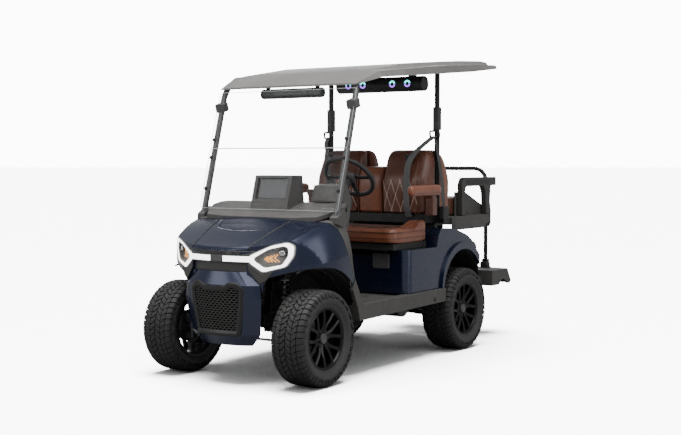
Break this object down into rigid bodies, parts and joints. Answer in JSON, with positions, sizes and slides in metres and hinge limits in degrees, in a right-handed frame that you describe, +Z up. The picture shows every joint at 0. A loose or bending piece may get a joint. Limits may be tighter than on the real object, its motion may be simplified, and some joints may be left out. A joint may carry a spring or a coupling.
{
  "type": "golf cart",
  "caption": "Open four-seat electric golf cart with a lifted chassis, canopy roof, folding armrests, rear-facing bench, rear step and steered front wheels.",
  "frame": {"origin": "on the ground under the middle of the overall box", "axes": "+X to the driver's side (left), the nose faces -Y, +Z up"},
  "size_m": [1.192, 2.9399, 2.009],
  "materials": {
    "paint_navy": "satin metallic",
    "plastic_dark": "textured",
    "plastic_roof": "textured",
    "plastic_black": "textured",
    "leather_brown": "stitched",
    "leather_black": "smooth",
    "frame_black": "satin",
    "steel": "machined",
    "shock_red": "gloss",
    "motor_grey": "cast",
    "battery_grey": "moulded",
    "paint_grey": "satin",
    "glass_clear": "clear",
    "lamp_clear": "clear",
    "lamp_red": "gloss",
    "tyre": "moulded",
    "rim_black": "satin"
  },
  "bodies": {
    "chassis": {"armrest_brackets": "plastic_black", "battery_pack": "battery_grey", "chin_fascia": "paint_navy", "cowl_top": "plastic_dark", "dash_panel": "plastic_dark", "floor_and_sills": "plastic_dark", "frame_crossmembers": "frame_black", "frame_rails": "frame_black", "front_backrest": "leather_brown", "front_body": "paint_navy", "front_liners": "plastic_black", "front_shocks": "shock_red", "front_towers": "frame_black", "grab_handles": "paint_grey", "grab_hoop": "steel", "grille": "plastic_black", "headlamps": "lamp_clear", "hood": "paint_navy", "light_band": "lamp_clear", "mirror_bar": "plastic_black", "motor": "motor_grey", "nose_panel": "plastic_dark", "pillar_trims": "plastic_dark", "rear_axle": "frame_black", "rear_backrest": "leather_brown", "rear_body": "paint_navy", "rear_cushion": "leather_brown", "rear_deck": "plastic_dark", "rear_liners": "plastic_black", "rear_posts": "frame_black", "rear_step": "plastic_dark", "rear_suspension": "frame_black", "roof": "plastic_roof", "seat_frame": "frame_black", "sound_bar": "plastic_black", "steering_column": "plastic_dark", "step_brackets": "frame_black", "suspension_arms": "frame_black", "tail_lamps": "lamp_red", "windshield": "glass_clear", "windshield_struts": "frame_black"},
    "wheel_front_left": {"tyre_front_left": "tyre", "rim_front_left": "rim_black"},
    "wheel_front_right": {"tyre_front_right": "tyre", "rim_front_right": "rim_black"},
    "wheel_rear_left": {"tyre_rear_left": "tyre", "rim_rear_left": "rim_black"},
    "wheel_rear_right": {"tyre_rear_right": "tyre", "rim_rear_right": "rim_black"},
    "knuckle_left": {"knuckle_left": "steel"},
    "knuckle_right": {"knuckle_right": "steel"},
    "steering_wheel": {"steering_wheel": "leather_black"},
    "tie_rod": {"tie_rod": "steel"},
    "front_seat": {"front_cushion": "leather_brown", "seat_pan": "frame_black"},
    "armrest_left": {"armrest_left": "leather_brown"},
    "armrest_right": {"armrest_right": "leather_brown"}
  },
  "joints": [
    {"name": "steer_left", "type": "hinge", "parent": "chassis", "child": "knuckle_left", "pos_m": [0.43, -1.163, 0.2794], "axis": [0, 0, 1], "range_deg": [-28, 28]},
    {"name": "steer_right", "type": "hinge", "parent": "chassis", "child": "knuckle_right", "pos_m": [-0.43, -1.163, 0.2794], "axis": [0, 0, 1], "range_deg": [-28, 28]},
    {"name": "steering_wheel_turn", "type": "hinge", "parent": "chassis", "child": "steering_wheel", "pos_m": [0.29, -0.496, 1.193], "axis": [0, 0.7071, 0.7071], "range_deg": [-336, 336]},
    {"name": "tie_rod_slide", "type": "slide", "parent": "chassis", "child": "tie_rod", "axis": [1, 0, 0], "range_m": [-0.0367, 0.0367]},
    {"name": "wheel_front_left_spin", "type": "hinge", "parent": "knuckle_left", "child": "wheel_front_left", "pos_m": [0.484, -1.163, 0.2794], "axis": [1, 0, 0], "continuous": true},
    {"name": "wheel_front_right_spin", "type": "hinge", "parent": "knuckle_right", "child": "wheel_front_right", "pos_m": [-0.484, -1.163, 0.2794], "axis": [1, 0, 0], "continuous": true},
    {"name": "wheel_rear_left_spin", "type": "hinge", "parent": "chassis", "child": "wheel_rear_left", "pos_m": [0.484, 0.523, 0.2794], "axis": [1, 0, 0], "continuous": true},
    {"name": "wheel_rear_right_spin", "type": "hinge", "parent": "chassis", "child": "wheel_rear_right", "pos_m": [-0.484, 0.523, 0.2794], "axis": [1, 0, 0], "continuous": true},
    {"name": "front_seat_tip", "type": "hinge", "parent": "chassis", "child": "front_seat", "pos_m": [0, -0.27, 0.74], "axis": [1, 0, 0], "range_deg": [0, 60]},
    {"name": "armrest_left_flip", "type": "hinge", "parent": "chassis", "child": "armrest_left", "pos_m": [0.537, 0.19, 1.092], "axis": [-1, 0, 0], "range_deg": [0, 90]},
    {"name": "armrest_right_flip", "type": "hinge", "parent": "chassis", "child": "armrest_right", "pos_m": [-0.537, 0.19, 1.092], "axis": [-1, 0, 0], "range_deg": [0, 90]}
  ],
  "couplings": [
    {"joint": "steer_right", "follows": "steer_left", "ratio": 1},
    {"joint": "steering_wheel_turn", "follows": "steer_left", "ratio": 12},
    {"joint": "tie_rod_slide", "follows": "steer_left", "m_per_rad": -0.075}
  ]
}
